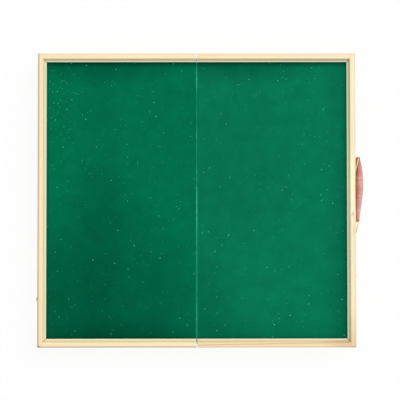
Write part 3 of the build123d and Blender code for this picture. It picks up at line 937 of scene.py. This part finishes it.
def makeLeather(name, look):
    mat, tree, skin = startMaterial(name)
    place = objectPlace(tree)
    pebbleInputs = {"Vector": place, "Scale": look["pebbleScale"], "Randomness": 1.0}
    pebble = addNode(tree, "TexVoronoi", pebbleInputs, feature="SMOOTH_F1").outputs["Distance"]
    crackInputs = {"Vector": objectPlace(tree, (1, 1.6, 1)), "Scale": look["crackScale"]}
    cracks = addNode(tree, "TexVoronoi", crackInputs, feature="DISTANCE_TO_EDGE").outputs["Distance"]
    cloud = cloudy(tree, place, look["cloudScale"], 5.0, 0.65)
    across, along = split(tree, place)[:2]
    fold = addNode(tree, "Attribute", attribute_name="fold").outputs["Fac"]
    # painted highlight beside the folds
    ridgeHighlight = times(tree, spread(tree, fold, 0.05, 0.22), spread(tree, fold, 0.5, 0.28))
    gripBackShadow = spread(tree, across, *look["gripBackShadowSide"])       # painted shadow on the side towards the rail
    gripBackShadow = times(tree, gripBackShadow, spread(tree, along, *look["gripBackShadowAlong"]))
    outward = spread(tree, facing(tree)["X"], 0.55, 0.95)
    outward = times(tree, outward, spread(tree, along, *look["shaded"]))

    colour = mixColour(tree, spread(tree, cloud, 0.3, 0.72), look["skin"], look["worn"])
    for amount, tint in (
        (spread(tree, cracks, 0.09, 0.0, 0.0, 0.6), "deep"),
        (spread(tree, pebble, 0.3, 0.7, 0.0, 0.35), "deep"),
        (spread(tree, along, *look["blushed"]), "blush"),
        # painted shade in the folds, then painted highlight beside them
        (spread(tree, fold, 0.45, 1.2, 0.0, look["creaseShade"]), "deep"),
        (times(tree, ridgeHighlight, look["ridgeHighlightStrength"]), "ridgeHighlight"),
        # painted shade at the far end
        (spread(tree, along, *look["ended"]), "ends"),
        # painted highlight at the far tip
        (spread(tree, along, *look["tipped"]), "tip"),
        (gripBackShadow, "deep"),
        (outward, "deep"),
    ):
        colour = mixColour(tree, amount, colour, look[tint])
    height = plus(tree, times(tree, spread(tree, cracks, 0.0, 0.12), 0.6), times(tree, pebble, -0.5))
    feed(tree, skin, {
        "Base Color": colour,
        "Normal": bumped(tree, height, look["grainHeight"], 0.6),
        "Roughness": spread(tree, cloud, 0.3, 0.7, *look["rough"]),
        "Specular IOR Level": 0.5,
    })
    return mat


def makeCotton(name, look):
    mat, tree, skin = startMaterial(name)
    inputs = {"Vector": objectPlace(tree), "Scale": look["twistScale"], "Distortion": 1.5}
    twist = addNode(tree, "TexWave", inputs, bands_direction="DIAGONAL").outputs["Fac"]
    shade = [c * look["shade"] for c in look["cotton"]]
    feed(tree, skin, {
        "Base Color": mixColour(tree, twist, look["cotton"], shade),
        "Normal": bumped(tree, twist, look["twistHeight"], 0.6),
        "Roughness": 0.85,
    })
    return mat


def gripOuter(along):
    g = gripShape
    part = along / (g["length"] / 2)
    return g["loopOuter"] + g["fullness"] * (1 - part * part) * (1 + g["lean"] * part)


def gripHalfHeight(along):
    g = gripShape
    start = g["length"] / 2 - g["neck"]
    if abs(along) >= start:
        return g["loopHeight"] / 2
    swell = math.cos(along / start * math.pi / 2) ** 2
    return (g["loopHeight"] + (g["height"] - g["loopHeight"]) * swell) / 2


def gripCreases():
    # place, width, depth and slant of each: the deep folds first, then some slight ones
    rand = random.Random(gripShape["seed"])
    creases = []
    for at in gripShape["folds"]:
        creases.append((at, rand.uniform(0.7, 1.1) * mm, rand.uniform(0.9, 1.3), rand.uniform(-0.3, 0.3)))
    for k in range(gripShape["smallCreases"]):
        at = rand.uniform(-0.8, 0.8) * gripEnd
        creases.append((at, rand.uniform(0.9, 2.4) * mm, rand.uniform(0.15, 0.5), rand.uniform(-0.35, 0.35)))
    return creases


def gripSurface(along, angle, creases):
    # a rounded box section, drawn in at the sewn channels and creases
    g = gripShape
    outer, back, half = gripOuter(along), -g["back"], gripHalfHeight(along)
    middle, depth = (outer + back) / 2, (outer - back) / 2
    c, s = math.cos(angle), math.sin(angle)
    power = 2 / g["squareness"]
    x = abs(c) ** power * depth * (1 if c > 0 else -1)
    z = abs(s) ** power * half * (1 if s > 0 else -1)
    fold = 0.0
    for at, width, deep, slant in creases:
        off = (along - at - slant * z * 0.6) / width
        fold += deep * math.exp(-off * off) * (0.35 + 0.65 * max(0.0, c))
    sunk = g["crease"] * min(1.6, fold)
    fromSeam = (abs(z) - (half - seamShape["inset"])) / seamShape["channelWidth"]
    sewn = seamShape["channel"] * math.exp(-fromSeam ** 2) * max(0.0, c) ** 0.5
    shrink = 1 - (sunk + sewn) / math.hypot(x, z)
    return Vector((middle + x * shrink, along, z * shrink)), fold


def gripBody(creases, verts, faces):
    around, stations = gripShape["around"], gripShape["stations"]
    folds = []
    for j in range(stations + 1):
        along = -gripEnd + 2 * gripEnd * j / stations
        for i in range(around):
            point, fold = gripSurface(along, math.tau * i / around, creases)
            verts.append(point)
            folds.append(fold)
    faces += tubeFaces(0, stations + 1, around)
    faces.append(tuple(range(around)))
    faces.append(tuple(stations * around + i for i in range(around - 1, -1, -1)))
    return folds


def addLoop(sign, verts, faces):
    # the loop round a ring's wire, with eased edges
    g = gripShape
    bore, outer, ease, turns = g["loopBore"], g["loopOuter"], g["loopEase"], g["loopTurns"]
    half = g["loopHeight"] / 2 - g["loopShort"]
    profile = [
        (bore, -half + ease), (bore + ease, -half), (outer - ease, -half), (outer, -half + ease),
        (outer, half - ease), (outer - ease, half), (bore + ease, half), (bore, half - ease),
    ]
    first = len(verts)
    for i in range(turns):
        angle = math.tau * i / turns
        for r, z in profile:
            verts.append(Vector((r * math.cos(angle), sign * g["length"] / 2 + r * math.sin(angle), z)))
    faces += tubeFaces(first, turns, len(profile), closed=True)


def addStitch(start, finish, verts, faces):
    around, steps, radius = seamShape["around"], seamShape["steps"], seamShape["radius"]
    first = len(verts)
    ahead = (finish - start).normalized()
    side = ahead.cross(Vector((1, 0, 0))).normalized()
    up = side.cross(ahead).normalized()
    for j in range(steps):
        t = j / (steps - 1)
        thin = radius * math.sqrt(max(0.02, 1 - (2 * t - 1) ** 4))
        centre = start.lerp(finish, t) - up * radius * 0.9 * (2 * t - 1) ** 2
        for i in range(around):
            angle = math.tau * i / around
            verts.append(centre + (side * math.cos(angle) + up * math.sin(angle)) * thin)
    faces += tubeFaces(first, steps, around, inwards=True)
    faces.append(tuple(first + i for i in range(around - 1, -1, -1)))
    faces.append(tuple(first + (steps - 1) * around + i for i in range(around)))


def seamPoint(along, creases):
    # where the upper row of stitches runs, found by halving the angle
    height = gripHalfHeight(along) - seamShape["inset"]
    low, high = 0.0, math.pi / 2
    for k in range(30):
        test = (low + high) / 2
        if gripSurface(along, test, creases)[0].z < height:
            low = test
        else:
            high = test
    return gripSurface(along, (low + high) / 2, creases)[0]


def gripPiece(materials):
    verts, faces = [], []
    creases = gripCreases()
    folds = gripBody(creases, verts, faces)
    for sign in (1, -1):
        addLoop(sign, verts, faces)
    owner = [0] * len(faces)

    # two rows of stitches along the front
    seam = seamShape
    number = int((gripShape["length"] - seam["endMargin"]) / seam["gap"])
    for sign in (1, -1):
        for k in range(number):
            middle = (k - (number - 1) / 2) * seam["gap"]
            ends = []
            for along in (middle - seam["length"] / 2, middle + seam["length"] / 2):
                point = seamPoint(along, creases)
                ends.append(Vector((point.x + seam["proud"], point.y, sign * point.z)))
            addStitch(*ends, verts, faces)
    owner += [1] * (len(faces) - len(owner))

    piece = makeMesh("grip_leather_cover", verts, faces, materials, owner)
    fold = piece.data.attributes.new("fold", "FLOAT", "POINT")
    fold.data.foreach_set("value", folds + [0.0] * (len(verts) - len(folds)))
    turned = Matrix.Rotation(-gripShape["tilt"], 4, "Z")
    piece.matrix_world = Matrix.Translation(gripShape["place"]) @ turned
    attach(piece, "grip")
    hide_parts("grip_leather", "grip_core")


gripPiece([makeLeather("gripLeather", leatherLook), makeCotton("gripThread", threadLook)])
print("grip sewn")


# floor, light and camera

studio = {
    "floor": (0.92, 0.92, 0.92),
    "floorSize": 4.0,
    "floorRough": 0.9,
    "shadow": 0.09,             # share of the real shadow that the camera sees on the floor
    "sky": 0.72,
    "table": 0.80,              # what the white table gives back from below
    "horizon": 0.30,            # how dark the room looks in shiny metal
    "sun": 1.60,
    "sunAngle": 44.0,
    "sunHeight": 36.0,          # degrees above the table
    "sunSide": 38.0,            # degrees from +X towards +Y
}
cameraSet = {
    "place": (-0.00225, -0.0190, wallTop + 1.25),
    "turn": (0.863, -0.100, -0.050),
    "lens": 56.38,
    "sensor": 36.0,
}


def makeFloor(values):
    size = values["floorSize"]
    corners = [(-size, -size, 0), (size, -size, 0), (size, size, 0), (-size, size, 0)]
    mat, tree, skin = startMaterial("floorWhite")
    feed(tree, skin, {
        "Base Color": rgb(values["floor"]),
        "Roughness": values["floorRough"],
        "Specular IOR Level": 0.0,
    })

    # the camera sees a light shadow on white paper, and light passes from below
    camera = addNode(tree, "LightPath").outputs["Is Camera Ray"]
    below = addNode(tree, "NewGeometry").outputs["Backfacing"]
    solid = times(tree, times(tree, camera, values["shadow"]), minus(tree, 1.0, below))
    clear = addNode(tree, "BsdfTransparent")
    both = addNode(tree, "MixShader", {0: solid, 1: clear.outputs[0], 2: skin.outputs[0]})
    tree.links.new(both.outputs[0], tree.nodes["Material Output"].inputs["Surface"])
    floor = makeMesh("floor", corners, [(0, 1, 2, 3)], [mat])


def makeSky(values):
    world = bpy.data.worlds.new("studio")
    bpy.context.scene.world = world
    world.use_nodes = True
    tree = world.node_tree
    rays = addNode(tree, "LightPath").outputs
    up = split(tree, addNode(tree, "TexCoord").outputs["Generated"])["Z"]

    # an even sky with a paler table below; reflections see a darker horizon
    light = spread(tree, up, -0.08, 0.02, values["table"], values["sky"])
    above = spread(tree, up, 0.0, 0.75, values["horizon"], 1.0)
    below = spread(tree, up, -0.05, -0.5, values["horizon"], values["table"])
    mirrored = calc(tree, "MAXIMUM", above, below)
    light = addNode(tree, "Mix", {0: rays["Is Glossy Ray"], 2: light, 3: mirrored}).outputs[0]
    seen = calc(tree, "MAXIMUM", rays["Is Camera Ray"], rays["Is Transmission Ray"])
    light = addNode(tree, "Mix", {0: seen, 2: light, 3: 1.0}).outputs[0]
    feed(tree, tree.nodes["Background"], {"Strength": light, "Color": (1, 1, 1, 1)})


def makeSun(values):
    lamp = bpy.data.lights.new("window", "SUN")
    lamp.energy = values["sun"]
    lamp.angle = math.radians(values["sunAngle"])
    made = bpy.data.objects.new("window", lamp)
    height, side = math.radians(values["sunHeight"]), math.radians(values["sunSide"])
    level = math.cos(height)
    toSun = Vector((level * math.cos(side), level * math.sin(side), math.sin(height)))
    made.rotation_euler = toSun.to_track_quat("Z", "Y").to_euler()
    made.location = toSun * 2
    bpy.context.scene.collection.objects.link(made)


def makeCamera(values):
    data = bpy.data.cameras.new("camera")
    data.lens = values["lens"]
    data.sensor_width = values["sensor"]
    made = bpy.data.objects.new("camera", data)
    made.location = values["place"]
    made.rotation_euler = [math.radians(a) for a in values["turn"]]
    bpy.context.scene.collection.objects.link(made)
    bpy.context.scene.camera = made


makeFloor(studio)
makeSky(studio)
makeSun(studio)
makeCamera(cameraSet)
bpy.context.scene.view_settings.view_transform = "Standard"
